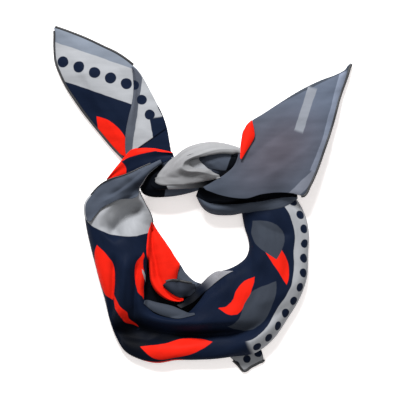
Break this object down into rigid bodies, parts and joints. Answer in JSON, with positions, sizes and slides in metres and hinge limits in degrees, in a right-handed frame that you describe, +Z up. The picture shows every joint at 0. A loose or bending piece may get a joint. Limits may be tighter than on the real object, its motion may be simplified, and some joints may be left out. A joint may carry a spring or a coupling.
{
  "type": "neckerchief",
  "caption": "Silk square folded on the diagonal into a band, laid in a loop and tied in a half knot, with two pointed tails.",
  "frame": {"origin": "on the surface it lies on, below the middle of its box", "axes": "+Z up from the surface, +Y from the loop towards the knot and tails, +X towards the right tail as seen from above"},
  "size_m": [0.3012, 0.3486, 0.042],
  "materials": {
    "printed_silk": "printed silk twill, soft sheen",
    "rolled_hem": "hand-rolled silk hem, dark thread"
  },
  "bodies": {
    "root": {"loop_band": "printed_silk", "inner_flap": "printed_silk", "pocket_fold": "printed_silk", "loop_corner": "printed_silk", "strand_fold": "printed_silk", "knot_core": "printed_silk", "knot_wrap": "printed_silk", "knot_lip": "printed_silk", "knot_heart": "printed_silk", "left_tail": "printed_silk", "left_tail_turn": "printed_silk", "left_tail_pleat": "printed_silk", "right_tail": "printed_silk", "right_tail_turn": "printed_silk", "right_tail_roll": "printed_silk", "hem_left_tail_top": "rolled_hem", "hem_left_tail_side": "rolled_hem", "hem_right_tail": "rolled_hem", "hem_pocket": "rolled_hem", "hem_corner": "rolled_hem"}
  },
  "joints": []
}
